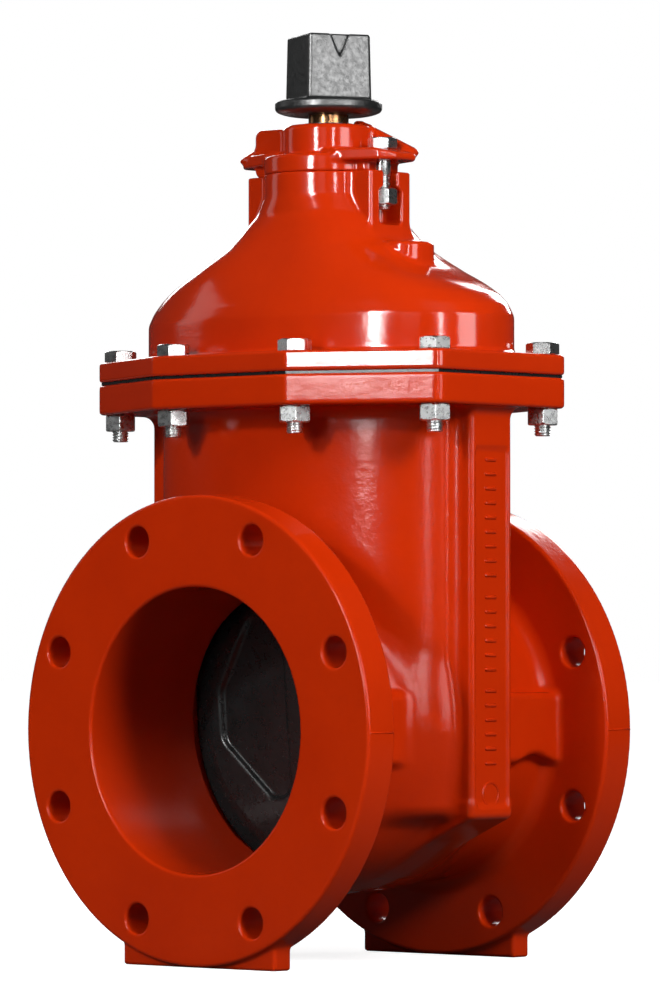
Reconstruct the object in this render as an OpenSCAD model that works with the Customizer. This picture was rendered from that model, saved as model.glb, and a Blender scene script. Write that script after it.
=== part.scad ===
// Flanged gate valve with a rubber-faced wedge and a stem that turns without rising.
// Units are millimetres. The pipe runs along Y, the ribs face X and Z is up.
// z = 0 is the underside of the two feet. The wedge is drawn closed.

/* [Pipe ends] */
// bore of the waterway
bore_d = 209; // [150:1:260]
// outside diameter of the end flanges
flange_od = 342.9; // [300:0.1:400]
// thickness of the end flanges
flange_t = 28.6; // [20:0.1:40]
// bolt circle of the end flanges
bolt_circle_d = 298.5; // [240:0.5:340]
// bolt holes in each end flange
bolt_count = 8; // [4:4:16]
// diameter of each flange bolt hole
bolt_hole_d = 22.2; // [16:0.1:30]
// distance between the two flange faces
face_to_face = 292.1; // [240:0.1:340]
// outside diameter of the pipe necks
neck_od = 231; // [200:1:280]

/* [Body] */
// height of the pipe axis above the feet
axis_h = 172; // [172:0.5:200]
// half length of the body barrel across the pipe
barrel_a = 150; // [130:1:165]
// half width of the body barrel along the pipe
barrel_b = 85; // [75:1:95]
// height of the body joint above the pipe axis
joint_rise = 259.4; // [240:0.1:280]
// how far the guide ribs reach from the middle
rib_reach = 161; // [150:1:168]
// width of each guide rib
rib_w = 46; // [36:1:60]

/* [Bonnet] */
// half length of the bonnet base
bonnet_a = 165; // [150:1:170]
// half width of the bonnet base
bonnet_b = 90; // [80:1:100]
// height of the bonnet neck above the pipe axis
neck_rise = 412.5; // [400:0.5:430]
// radius of the bonnet neck
neck_r = 48; // [44:1:56]

/* [Stem and nut] */
// diameter of the plain stem
stem_d = 30; // [24:1:34]
// rise of the wedge for one turn of the stem
lead = 8; // [6:1:12]
// side of the square operating nut at its foot
square_w = 50.8; // [40:0.1:60]
// turn of the operating nut seen from above
nut_turn = -27; // [-45:1:45]

/* [Wedge] */
// how far the wedge rises to open the bore
wedge_lift = 216; // [200:1:216]
// taper of the wedge faces
wedge_taper = 5; // [3:0.5:6]

/* [Hidden] */
$fn = 64;

paint_red = [0.80, 0.15, 0.04];
zinc = [0.75, 0.76, 0.78];
bronze = [0.72, 0.52, 0.25];
black_rubber = [0.05, 0.05, 0.05];
black_iron = [0.08, 0.08, 0.09];
nylon = [0.88, 0.86, 0.78];

tiny = 0.01;
oval_sides = 64;
faced_l = face_to_face / 2;
flange_back = faced_l - flange_t;
bolt_step = 360 / bolt_count;
edge = 1.5;

// heights that the upper works share
joint_z = axis_h + joint_rise;
gasket_t = 2;
body_top = joint_z - gasket_t / 2;
bonnet_foot = joint_z + gasket_t / 2;
body_flange_t = 22.5;
bonnet_flange_t = 15;
bonnet_deck = bonnet_foot + bonnet_flange_t;
neck_top = axis_h + neck_rise;

// octagonal joint between body and bonnet
oct_long = 172.5;
oct_long_y = 70;
oct_wide = 120.7;
oct_wide_x = 66.3;
gasket_inset = 3;

// joint bolts sit at two places, mirrored into every quarter
joint_bolt_d = 12.7;
joint_hole_d = 14.3;
end_bolt = [158, 60];
side_bolt = [61, 103.5];
bolt_places = [for (place = [end_bolt, side_bolt]) for (sx = [-1, 1]) for (sy = [-1, 1])
               [place[0] * sx, place[1] * sy]];
hex_af = 21.5;
head_h = 9;
nut_h = 12.2;
bolt_end = 8;

// wedge and the slot that it drops into
wedge_r = 110;
wedge_half = 34;
wedge_gap = 0.4;
seat_gap = 0.35;
shoulder_h = 115;
boss_r = 33;
boss_top = 150;
wedge_hole_r = 18.5;
rubber_t = 6;

// guide channels and shoes
channel_x = 149;
channel_half = 13.5;
channel_drop = 60;
shoe_gap = 1.2;
shoe_x0 = 118;
shoe_half_h = 50;
lug_half = 9;

// body inside
cavity_a = barrel_a - 11;
cavity_b = barrel_b - 11;
cavity_floor = axis_h + 112;
casing_r = 124;
casing_half = 50;
casing_fade = 82;
rib_low = 63;
panel_depth = 1.6;
panel_border = 5;
mark_h = 1.0;

// stem
thread_mean_r = 14;
thread_depth = 4;
thread_play = 0.8;
thread_sides = 16;
thread_steps = 10;
stem_low = axis_h + 112;
thread_turns = 32;
collar_r = 22.5;
collar_t = 12;
pocket_floor = axis_h + 381;
washer_gap = 0.1;
thrust_t = 3;
collar_low = pocket_floor + thrust_t + washer_gap;
collar_high = collar_low + collar_t;
pocket_r = 27;
spigot_low = collar_high + thrust_t + 2 * washer_gap;
ring_top = axis_h + 426;
hub_top = axis_h + 449;
hub_r = 34;
run_gap = 0.1;
stem_square = 21;
socket_gap = 0.1;

// operating nut
nut_foot = axis_h + 457;
nut_collar_t = 10.6;
nut_collar_r = 40;
nut_top = axis_h + 516.4;
square_top_w = square_w - 1.8;
notch_w = 13;
notch_h = 17;
socket_top = nut_top - 15;

// lugs on the bonnet neck and ears on the seal plate
ear_bolt_x = 54;
ear_half = 20;
bracket_half = 22.5;
lug_x = 62.5;
nose_x = 97;
nose_r = 20;
ear_af = 19;
ear_seat = axis_h + 429;
ear_nut_h = 12.3;
ear_shank_low = axis_h + 384.5;

/* outlines */

// points of a rounded outline: squareness 2 is an ellipse, more is boxier
function oval_pts(a, b, squareness = 2) =
    [for (i = [0 : oval_sides - 1])
        let (t = 360 * i / oval_sides, c = cos(t), s = sin(t))
        [a * sign(c) * pow(abs(c), 2 / squareness), b * sign(s) * pow(abs(s), 2 / squareness)]];

module oval(a, b) {
    polygon(oval_pts(a, b));
}

// elongated octagon of the joint, drawn smaller by the inset
module octagon(inset = 0) {
    far_x = oct_long - inset;
    far_y = oct_wide - inset;
    turn = inset * 0.4;
    polygon([[far_x, -oct_long_y + turn], [far_x, oct_long_y - turn],
             [oct_wide_x - turn, far_y], [-oct_wide_x + turn, far_y],
             [-far_x, oct_long_y - turn], [-far_x, -oct_long_y + turn],
             [-oct_wide_x + turn, -far_y], [oct_wide_x - turn, -far_y]]);
}

// solid through stacked outlines, each given as [height, a, b, squareness]
module loft(rings) {
    last = len(rings) - 1;
    n = oval_sides;
    points = [for (ring = rings) for (p = oval_pts(ring[1], ring[2], ring[3])) [p[0], p[1], ring[0]]];
    polyhedron(points, stacked_faces(n, last));
}

// faces of a closed stack of rings that each have n points
function stacked_faces(n, last) = concat(
    [[for (i = [0 : n - 1]) i]],
    [for (k = [0 : last - 1]) for (i = [0 : n - 1]) [k * n + i, (k + 1) * n + i, (k + 1) * n + (i + 1) % n]],
    [for (k = [0 : last - 1]) for (i = [0 : n - 1]) [k * n + i, (k + 1) * n + (i + 1) % n, k * n + (i + 1) % n]],
    [[for (i = [0 : n - 1]) last * n + n - 1 - i]]);

// left-hand thread: round in plan, pushed sideways by the lead angle as it climbs
module thread(mean_r, low, turns, phase_z) {
    last = turns * thread_steps;
    points = [for (k = [0 : last]) for (i = [0 : thread_sides - 1])
              let (z = low + k * lead / thread_steps, t = 360 * i / thread_sides,
                   r = mean_r + thread_depth / 2 * cos(t + 360 * (z - phase_z) / lead))
              [r * cos(t), r * sin(t), z]];
    polyhedron(points, stacked_faces(thread_sides, last));
}

/* small helpers */

module rod_y(r, y0, y1) {
    translate([0, y0, 0]) rotate([-90, 0, 0]) cylinder(r = r, h = y1 - y0);
}

module slab(x0, x1, y0, y1, z0, z1) {
    translate([x0, y0, z0]) cube([x1 - x0, y1 - y0, z1 - z0]);
}

module both_sides_x() {
    children();
    mirror([1, 0, 0]) children();
}

module both_sides_y() {
    children();
    mirror([0, 1, 0]) children();
}

module hexagon(across, h) {
    cylinder(d = across / cos(30), h = h, $fn = 6);
}

module ring(outer, inner, low, h) {
    translate([0, 0, low]) difference() {
        cylinder(r = outer, h = h);
        translate([0, 0, -1]) cylinder(r = inner, h = h + 2);
    }
}

module round_ring(mean_r, section_r, z) {
    translate([0, 0, z]) rotate_extrude() translate([mean_r, 0]) circle(r = section_r);
}

/* body */

// end flange with its outer edges taken off
module end_flange() {
    r = flange_od / 2;
    translate([0, flange_back, axis_h]) rotate([-90, 0, 0]) rotate_extrude()
        polygon([[0, 0], [r - edge, 0], [r, edge], [r, flange_t - edge], [r - edge, flange_t], [0, flange_t]]);
}

module flange_holes() {
    translate([0, 0, axis_h]) rotate([-90, 0, 0])
        for (i = [0 : bolt_count - 1])
            rotate([0, 0, (i + 0.5) * bolt_step])
                translate([bolt_circle_d / 2, 0, flange_back - 1]) cylinder(d = bolt_hole_d, h = flange_t + 2);
}

module foot() {
    foot_x = 76;
    slab(-foot_x, foot_x, 122.6, 141, 0, 24);
}

module seat_casing() {
    translate([0, 0, axis_h]) rod_y(casing_r, -casing_half, casing_half);
    both_sides_y() translate([0, casing_half, axis_h]) rotate([-90, 0, 0])
        cylinder(r1 = casing_r, r2 = neck_od / 2, h = casing_fade - casing_half);
}

module side_block() {
    slab(80, 125, 40, flange_back + 1, axis_h - 25, axis_h + 27);
}

// plain relief bars in the rib panel, in three groups, with a round mark below them
module panel_marks() {
    face = rib_reach - panel_depth - 1;
    bar_half = 6;
    bar_t = 2;
    mark_step = 10.5;
    for (group = [[196, 9], [96, 6], [28, 6]])
        for (i = [0 : group[1] - 1])
            slab(face, face + 1 + mark_h, -bar_half, bar_half, axis_h + group[0] - i * mark_step,
                 axis_h + group[0] - i * mark_step + bar_t);
    translate([face, 0, axis_h - 46]) rotate([0, 90, 0]) difference() {
        cylinder(r = 9.5, h = 1 + mark_h);
        translate([0, 0, -1]) cylinder(r = 7.5, h = 4);
    }
}

module rib() {
    face = rib_reach;
    half = rib_w / 2;
    low = axis_h - rib_low;
    top = body_top - 1;
    difference() {
        slab(100, face, -half, half, low, top);
        slab(face - panel_depth, face + 1, -half + panel_border, half - panel_border,
             low + panel_border, axis_h + 208);
    }
    panel_marks();
    // gusset that carries the rib in under the pipe
    translate([0, half, axis_h]) rotate([90, 0, 0]) linear_extrude(rib_w)
        polygon([[90, -rib_low + 1], [face, -rib_low + 1], [face, -rib_low], [80, -rib_low - 36]]);
}

// slot for the wedge, wider towards the top like the wedge itself
module wedge_slot() {
    r = wedge_r + wedge_gap;
    low = -r - 1;
    high = shoulder_h;
    half = wedge_half + seat_gap;
    slope = tan(wedge_taper);
    intersection() {
        union() {
            translate([0, 0, axis_h]) rod_y(r, -80, 80);
            slab(-r, r, -80, 80, axis_h, axis_h + high);
        }
        translate([-r - 1, 0, axis_h]) rotate([90, 0, 90]) linear_extrude(2 * r + 2)
            polygon([[-half - low * slope, low], [half + low * slope, low],
                     [half + high * slope, high], [-half - high * slope, high]]);
    }
}

module body() color(paint_red) difference() {
    union() {
        both_sides_y() end_flange();
        translate([0, 0, axis_h]) rod_y(neck_od / 2, -flange_back - 1, flange_back + 1);
        seat_casing();
        translate([0, 0, axis_h - rib_low]) linear_extrude(body_top - 1 - axis_h + rib_low)
            oval(barrel_a, barrel_b);
        both_sides_x() rib();
        both_sides_x() both_sides_y() side_block();
        both_sides_y() foot();
        translate([0, 0, body_top - body_flange_t]) linear_extrude(body_flange_t) octagon();
    }
    translate([0, 0, axis_h]) rod_y(bore_d / 2, -faced_l - 1, faced_l + 1);
    both_sides_y() flange_holes();
    wedge_slot();
    translate([0, 0, cavity_floor]) linear_extrude(body_top - cavity_floor + 1) oval(cavity_a, cavity_b);
    both_sides_x() slab(100, channel_x, -channel_half, channel_half, axis_h - channel_drop, body_top + 1);
    for (place = bolt_places)
        translate([place[0], place[1], body_top - body_flange_t - 1])
            cylinder(d = joint_hole_d, h = body_flange_t + 2);
}

/* bonnet */

bonnet_shell = [
    [bonnet_deck - 1, bonnet_a, bonnet_b, 2],
    [axis_h + 303, bonnet_a, bonnet_b, 2],
    [axis_h + 312, bonnet_a - 5, bonnet_b - 3, 2],
    [axis_h + 326, 145, 79, 2.1],
    [axis_h + 338, 124, 70, 2.3],
    [axis_h + 348, 106, 61, 2.6],
    [axis_h + 358, 97, 52, 2.8],
    [axis_h + 369, 80, 49, 2.8],
    [axis_h + 379, 66, neck_r, 2.8],
    [axis_h + 386, 52, neck_r - 2, 2.4]];
bonnet_wall = 10;
bonnet_hollow = [
    [bonnet_foot - 1, bonnet_a - bonnet_wall, bonnet_b - bonnet_wall, 2],
    [axis_h + 299, bonnet_a - bonnet_wall, bonnet_b - bonnet_wall, 2],
    [axis_h + 322, 134, 69, 2],
    [axis_h + 334, 113, 60, 2],
    [axis_h + 346, 90, 50, 2],
    [axis_h + 356, 70, 40, 2],
    [axis_h + 364, 44, 37, 2]];
boss_room_r = 37;
boss_room_top = axis_h + 371;

lug_shelf = axis_h + 400;
pocket_low = axis_h + 374;
pocket_x = 42;
pocket_half = 12;
notch_x = 47;
notch_half = 7.5;

// lug with a rounded nose below it that runs out onto the bell
module lug() {
    slab(30, lug_x, -bracket_half, bracket_half, axis_h + 356, neck_top - 0.5);
    translate([nose_x - nose_r, 0, axis_h + 326]) cylinder(r = nose_r, h = 33);
    slab(60, nose_x - nose_r, -nose_r, nose_r, axis_h + 345, axis_h + 359);
}

// room for the nut under the shelf, and the open notch that the bolt swings into
module lug_cuts() {
    slab(pocket_x, lug_x + 30, -pocket_half, pocket_half, pocket_low, lug_shelf);
    slab(notch_x, lug_x + 30, -notch_half, notch_half, lug_shelf - 1, neck_top + 1);
}

module bonnet() color(paint_red) difference() {
    union() {
        translate([0, 0, bonnet_foot]) linear_extrude(bonnet_flange_t) octagon();
        loft(bonnet_shell);
        translate([0, 0, axis_h + 372]) cylinder(r = neck_r, h = neck_top - axis_h - 372);
        both_sides_x() lug();
    }
    loft(bonnet_hollow);
    translate([0, 0, axis_h + 340]) cylinder(r = boss_room_r, h = boss_room_top - axis_h - 340);
    translate([0, 0, axis_h + 360]) cylinder(d = stem_d + 8, h = 60);
    translate([0, 0, pocket_floor]) cylinder(r = pocket_r, h = neck_top - pocket_floor + 1);
    both_sides_x() lug_cuts();
    for (place = bolt_places)
        translate([place[0], place[1], bonnet_foot - 1]) cylinder(d = joint_hole_d, h = bonnet_flange_t + 2);
}

module bonnet_gasket() color(black_rubber) difference() {
    translate([0, 0, body_top]) linear_extrude(gasket_t) octagon(gasket_inset);
    translate([0, 0, body_top - 1]) linear_extrude(gasket_t + 2) oval(bonnet_a - bonnet_wall, bonnet_b - bonnet_wall);
    for (place = bolt_places)
        translate([place[0], place[1], body_top - 1]) cylinder(d = joint_hole_d, h = gasket_t + 2);
}

// bolts and nuts of the joint between body and bonnet
head_seat = bonnet_deck;
nut_seat = body_top - body_flange_t;

module bonnet_bolts() color(zinc)
    for (place = bolt_places)
        translate([place[0], place[1], 0]) {
            translate([0, 0, head_seat]) hexagon(hex_af, head_h);
            translate([0, 0, nut_seat - nut_h - bolt_end])
                cylinder(d = joint_bolt_d, h = head_seat - nut_seat + nut_h + bolt_end + 1);
        }

module bonnet_nuts() color(zinc)
    for (place = bolt_places)
        translate([place[0], place[1], nut_seat - nut_h]) difference() {
            hexagon(hex_af, nut_h);
            translate([0, 0, -1]) cylinder(d = joint_bolt_d + 0.02, h = nut_h + 2);
        }

/* seal plate and its fasteners */

// hub, ring and spigot turned from one outline
module seal_plate_turned() {
    round_r = 4;
    rotate_extrude() {
        translate([0, spigot_low]) square([pocket_r - run_gap, neck_top - spigot_low + 1]);
        translate([0, neck_top]) square([neck_r, ring_top - neck_top]);
        translate([0, ring_top - 1]) square([hub_r, hub_top - ring_top + 1 - round_r]);
        translate([0, hub_top - round_r - 1]) square([hub_r - round_r, round_r + 1]);
        translate([hub_r - round_r, hub_top - round_r]) circle(r = round_r);
    }
}

module ear() {
    tip_x = 77;
    bottom = axis_h + 420;
    root_x = 55;
    root_half = 33;
    intersection() {
        translate([0, 2 * ear_half, 0]) rotate([90, 0, 0]) linear_extrude(4 * ear_half)
            polygon([[25, bottom], [60, bottom], [tip_x, bottom + 2], [tip_x, bottom + 7],
                     [66, ear_seat], [25, ear_seat]]);
        linear_extrude(ear_seat + 1)
            polygon([[20, -root_half], [36, -root_half], [68, -ear_half], [tip_x, -ear_half + 6],
                     [tip_x, ear_half - 6], [68, ear_half], [36, root_half], [20, root_half]]);
    }
    // the root reaches down to the neck
    slab(25, root_x, -ear_half, ear_half, neck_top, bottom + 1);
}

// low wall beside an ear, sloping down outwards
module ear_wall(y0, y1, x_high, z_high, x_low, z_low) {
    translate([0, y1, 0]) rotate([90, 0, 0]) linear_extrude(y1 - y0)
        polygon([[20, ear_seat - 4], [20, z_high], [x_high, z_high], [x_low, z_low], [x_low, ear_seat - 4]]);
}

module seal_plate() color(paint_red) difference() {
    union() {
        seal_plate_turned();
        both_sides_x() ear();
        ear_wall(ear_half - 6, ear_half, 34, axis_h + 446, 72, axis_h + 429);
        mirror([1, 0, 0]) ear_wall(-ear_half, -ear_half + 9, 56, axis_h + 447, 57, axis_h + 434);
    }
    translate([0, 0, spigot_low - 1]) cylinder(d = stem_d + 6, h = 30);
    translate([0, 0, spigot_low - 1]) cylinder(r = stem_d / 2 + run_gap, h = 100);
    translate([0, 0, hub_top - 6]) cylinder(d = stem_d + 9, h = 7);
    for (z = [axis_h + 433, axis_h + 440]) translate([0, 0, z - 2.2]) cylinder(d = stem_d + 7, h = 4.4);
    translate([0, 0, spigot_low + 4]) difference() {
        cylinder(r = pocket_r + 1, h = 4.4);
        cylinder(r = pocket_r - 3.2, h = 4.4);
    }
    both_sides_x() {
        translate([ear_bolt_x, 0, ear_seat - 30]) cylinder(d = joint_hole_d, h = 60);
        translate([ear_bolt_x, 0, ear_seat]) cylinder(r = 13.5, h = 40);
    }
}

module seal_plate_o_ring() color(black_rubber) round_ring(pocket_r - 1.65, 1.55, spigot_low + 6.2);

module stem_o_ring(z) color(black_rubber) round_ring(stem_d / 2 + 1.75, 1.7, z);
module stem_o_ring_upper() stem_o_ring(axis_h + 440);
module stem_o_ring_lower() stem_o_ring(axis_h + 433);

module wiper_ring() color(black_rubber) ring(stem_d / 2 + 4.45, stem_d / 2 + 0.05, hub_top - 6, 7.5);

module stem_bushing() color(bronze)
    ring(stem_d / 2 + 2.98, stem_d / 2 + 0.05, spigot_low, 28.5);

module seal_plate_bolts() color(zinc)
    both_sides_x() translate([ear_bolt_x, 0, 0]) {
        translate([0, 0, ear_seat]) hexagon(ear_af, 8.5);
        translate([0, 0, ear_shank_low]) cylinder(d = 12, h = ear_seat - ear_shank_low + 1);
    }

module seal_plate_nuts() color(zinc)
    both_sides_x() translate([ear_bolt_x, 0, lug_shelf - ear_nut_h]) difference() {
        hexagon(ear_af, ear_nut_h);
        translate([0, 0, -1]) cylinder(d = 12.02, h = ear_nut_h + 2);
    }

/* stem and what turns with it */

module stem() color(bronze) {
    thread(thread_mean_r, stem_low, thread_turns, stem_low);
    translate([0, 0, stem_low + thread_turns * lead - tiny])
        cylinder(r = stem_d / 2, h = axis_h + 470 - stem_low - thread_turns * lead);
    translate([0, 0, collar_low]) cylinder(r = collar_r, h = collar_t);
    rotate([0, 0, nut_turn]) translate([-stem_square / 2, -stem_square / 2, axis_h + 465])
        cube([stem_square, stem_square, socket_top - 0.5 - axis_h - 465]);
}

module thrust_washer_lower() color(bronze) ring(pocket_r - 0.3, stem_d / 2 + 1, pocket_floor, thrust_t);
module thrust_washer_upper() color(bronze) ring(pocket_r - 0.3, stem_d / 2 + 1, spigot_low - thrust_t, thrust_t);

module operating_nut() color(black_iron) rotate([0, 0, nut_turn]) difference() {
    union() {
        translate([0, 0, nut_foot]) rotate_extrude()
            polygon([[0, 0], [nut_collar_r - 8, 0], [nut_collar_r, 3], [nut_collar_r, nut_collar_t - 1.5],
                     [nut_collar_r - 1.5, nut_collar_t], [0, nut_collar_t]]);
        translate([0, 0, nut_foot + nut_collar_t - 1]) rotate([0, 0, 45])
            cylinder(d1 = square_w * sqrt(2), d2 = square_top_w * sqrt(2),
                     h = nut_top - nut_foot - nut_collar_t + 1, $fn = 4);
    }
    translate([0, 0, nut_foot - 1]) cylinder(r = stem_d / 2 + socket_gap, h = axis_h + 470.2 - nut_foot + 1);
    translate([-stem_square / 2 - socket_gap, -stem_square / 2 - socket_gap, nut_foot])
        cube([stem_square + 2 * socket_gap, stem_square + 2 * socket_gap, socket_top - nut_foot]);
    translate([0, 0, nut_foot]) cylinder(d = 9, h = 80);
    translate([0, 0, nut_top - 12]) cylinder(d = 24, h = 20);
    translate([square_w / 2 - 4, 0, nut_top + tiny]) rotate([90, 0, 90]) linear_extrude(10)
        polygon([[-notch_w / 2, 0], [0, -notch_h], [notch_w / 2, 0]]);
}

module nut_washer() color(zinc) ring(11.5, 4.3, nut_top - 12, 1.5);

module nut_screw() color(zinc) {
    translate([0, 0, nut_top - 10.5]) hexagon(13, 5.5);
    translate([0, 0, socket_top - 0.4]) cylinder(d = 8, h = nut_top - 10 - socket_top);
}

/* wedge and what rides with it */

// face outline of the wedge: round below, shoulders and a central boss above
module wedge_outline(r) {
    shrink = wedge_r - r;
    intersection() {
        union() {
            circle(r = r);
            polygon([[-r, 0], [r, 0], [r, 45], [86 - shrink, 86 - shrink * 0.5], [45, shoulder_h - shrink],
                     [-45, shoulder_h - shrink], [-86 + shrink, 86 - shrink * 0.5], [-r, 45]]);
        }
        translate([-200, -200]) square([400, 200 + shoulder_h - shrink]);
    }
}

// wedge body of radius r and half thickness half at the pipe axis
module wedge_solid(r, half, boss) {
    slope = tan(wedge_taper);
    high = shoulder_h + 1;
    low = -wedge_r - 1;
    translate([0, 0, axis_h]) {
        intersection() {
            translate([0, 90, 0]) rotate([90, 0, 0]) linear_extrude(180) wedge_outline(r);
            translate([-150, 0, 0]) rotate([90, 0, 90]) linear_extrude(300)
                polygon([[-half - low * slope, low], [half + low * slope, low],
                         [half + high * slope, high], [-half - high * slope, high]]);
        }
        translate([0, 0, 60]) cylinder(r = boss, h = boss_top - 60);
    }
}

core_inset = rubber_t;

module wedge_core() color(black_iron) difference() {
    wedge_solid(wedge_r - core_inset, wedge_half - core_inset, boss_r - 3);
    translate([0, 0, axis_h - 130]) cylinder(r = wedge_hole_r + 3, h = 300);
    stem_nut_room(0.05);
}

// pocket across the boss that takes the stem nut
module stem_nut_room(grow) {
    nut_half = 21 + grow;
    translate([0, 0, axis_h + 108 - grow]) rotate([0, 0, 30]) hexagon(2 * nut_half, 37 + 2 * grow);
}

module wedge_rubber() color(black_rubber) difference() {
    union() {
        difference() {
            wedge_solid(wedge_r, wedge_half, boss_r);
            // the faces are sunk inside a raised sealing band
            both_sides_y() face_recess();
        }
        both_sides_x() slab(95, 119, -lug_half, lug_half, axis_h - 34, axis_h + 34);
    }
    wedge_solid(wedge_r - core_inset + 0.02, wedge_half - core_inset + 0.02, boss_r - 3 + 0.02);
    translate([0, 0, axis_h - 130]) cylinder(r = wedge_hole_r, h = 300);
    stem_nut_room(0.06);
}

// sunk panel on each side of the upright middle of a wedge face
module face_recess() {
    depth = 4;
    middle = 12;
    panel = [[middle, 84], [46, 80], [77, 28], [77, -2], [68, -17], [22, -58], [middle, -62]];
    translate([0, wedge_half, axis_h]) rotate([-wedge_taper, 0, 0])
        both_sides_x() translate([0, 20, 0]) rotate([90, 0, 0]) linear_extrude(20 + depth) polygon(panel);
}

module stem_nut() color(bronze) difference() {
    stem_nut_room(0);
    thread(thread_mean_r + thread_play, stem_low - 3 * lead, 8, stem_low);
}

module wedge_shoe() color(nylon) difference() {
    slab(shoe_x0, channel_x - 3, -channel_half + shoe_gap, channel_half - shoe_gap,
         axis_h - shoe_half_h, axis_h + shoe_half_h);
    slab(100, 119.05, -lug_half - 0.05, lug_half + 0.05, axis_h - 34.05, axis_h + 34.05);
}
module wedge_shoe_right() wedge_shoe();
module wedge_shoe_left() mirror([1, 0, 0]) wedge_shoe();

body();
bonnet();
bonnet_gasket();
bonnet_bolts();
bonnet_nuts();
seal_plate();
seal_plate_o_ring();
seal_plate_bolts();
seal_plate_nuts();
wiper_ring();
stem_o_ring_upper();
stem_o_ring_lower();
stem_bushing();
thrust_washer_upper();
thrust_washer_lower();
stem();
operating_nut();
nut_screw();
nut_washer();
stem_nut();
wedge_core();
wedge_rubber();
wedge_shoe_left();
wedge_shoe_right();
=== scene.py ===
"""Looks of the flanged gate valve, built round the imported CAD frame.

The castings, the operating nut and the rubber wedge are solid fields: each one adds and cuts
simple shapes with true fillets, and is then skinned as one smooth mesh. All lengths are in
millimetres until a mesh is made. Heights called dz are counted from the pipe axis.
"""
import math

import bpy
import numpy as np
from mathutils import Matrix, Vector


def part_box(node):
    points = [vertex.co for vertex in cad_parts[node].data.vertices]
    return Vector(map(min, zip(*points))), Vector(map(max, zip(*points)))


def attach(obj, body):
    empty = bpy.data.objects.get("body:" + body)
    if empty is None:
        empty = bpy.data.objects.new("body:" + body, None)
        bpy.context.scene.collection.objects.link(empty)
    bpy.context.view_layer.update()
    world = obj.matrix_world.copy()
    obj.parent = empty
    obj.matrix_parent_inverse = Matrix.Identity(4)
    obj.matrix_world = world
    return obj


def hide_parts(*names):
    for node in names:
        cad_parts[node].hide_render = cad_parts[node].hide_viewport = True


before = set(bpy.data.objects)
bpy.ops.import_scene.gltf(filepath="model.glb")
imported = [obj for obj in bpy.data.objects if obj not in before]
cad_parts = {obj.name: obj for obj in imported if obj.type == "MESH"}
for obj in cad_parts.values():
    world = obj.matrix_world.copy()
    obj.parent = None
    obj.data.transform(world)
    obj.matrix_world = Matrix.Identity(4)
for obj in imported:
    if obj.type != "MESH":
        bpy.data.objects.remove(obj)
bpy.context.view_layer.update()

import openvdb
from mathutils import Vector

MM = 0.001


def box_mm(node):
    """Lowest and highest corner of a CAD node, in millimetres."""
    low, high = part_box(node)
    return np.array(low) / MM, np.array(high) / MM


BODY_LOW, BODY_HIGH = box_mm("body")
BONNET_LOW, BONNET_HIGH = box_mm("bonnet")
PLATE_LOW, PLATE_HIGH = box_mm("seal_plate")
NUT_LOW, NUT_HIGH = box_mm("operating_nut")

# height of the pipe axis above the floor
AXIS = 172.0

# pipe ends
FACE = BODY_HIGH[1]
FLANGE_T = 28.6
FLANGE_R = 171.45
BORE_R = 104.5
NECK_R = 115.5
HOLE_CIRCLE_R = 298.5 / 2
HOLE_R = 11.1
HOLE_COUNT = 8

# joint between body and bonnet
BODY_TOP = BODY_HIGH[2]
BODY_DECK_T = 22.5
DECK_LOW = BONNET_LOW[2]
DECK_HIGH = DECK_LOW + 15
OCTAGON = [(172.5, 70), (66.3, 120.7), (-66.3, 120.7), (-172.5, 70),
           (-172.5, -70), (-66.3, -120.7), (66.3, -120.7), (172.5, -70)]
JOINT_BOLTS = [(158, 60), (61, 103.5)]
JOINT_HOLE_R = 7.15

# top of the bonnet neck
NECK_TOP = BONNET_HIGH[2]

# guide ribs: half thickness, reach from the stem, and the face of the sunk panel
RIB_HALF = 23
RIB_X = 161
RIB_PANEL_X = 159.2

# heights above the pipe axis: seats of the seal plate bolts, foot of the stem collar
SEAL_SEAT_DZ = 429
STEM_COLLAR_DZ = 384.1

# fasteners
JOINT_AF = 21.5
SEAL_AF = 19
SEAL_BOLT_X = 54

# turn of the operating nut, and of the stem square inside it
NUT_TURN = math.radians(-27)

# wedge
TAPER_ANGLE = math.radians(5)
TAPER = math.tan(TAPER_ANGLE)
WEDGE_HALF = 34.0
WEDGE_R = 110.0

# mesh steps of the skinned fields
BODY_STEP = 1.6
BONNET_STEP = 1.2
PLATE_STEP = 0.9
NUT_STEP = 0.6
WEDGE_STEP = 1.1


# ---------------------------------------------------------------- solid fields

class Grid:
    """Sample points of a box. A mirrored axis is sampled on its positive side only."""

    def __init__(self, low, high, step, mirror=(False, False, False)):
        pad = 3 * step
        self.step = step
        self.mirror = mirror
        lines = []
        for a, b, half in zip(low, high, mirror):
            if half:
                lines.append((np.arange(int((b + pad) / step) + 1) + 0.5) * step)
            else:
                lines.append(np.arange(a - pad, b + pad + step, step))
        self.start = [line[0] for line in lines]
        self.x, self.y, self.z = np.meshgrid(*[line.astype(np.float32) for line in lines],
                                             indexing="ij", sparse=True)
        self.dz = self.z - AXIS


def join(a, b, r=0.01):
    """Both solids, with a fillet of radius r where they meet."""
    u = np.maximum(r - a, 0)
    v = np.maximum(r - b, 0)
    return np.maximum(r, np.minimum(a, b)) - np.sqrt(u * u + v * v)


def common(a, b, r=0.01):
    """What both solids hold, with its edges rounded to radius r."""
    u = np.maximum(r + a, 0)
    v = np.maximum(r + b, 0)
    return np.minimum(-r, np.maximum(a, b)) + np.sqrt(u * u + v * v)


def cut(a, b, r=0.01):
    """a without b, with the rim rounded to radius r."""
    return common(a, -b, r)


def within(value, low, high):
    """The layer between two levels of a coordinate."""
    return np.abs(value - (low + high) / 2) - (high - low) / 2


def disc(u, v, r, at=(0, 0)):
    """A cylinder of radius r, seen along its axis."""
    return np.sqrt((u - at[0]) ** 2 + (v - at[1]) ** 2) - r


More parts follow.
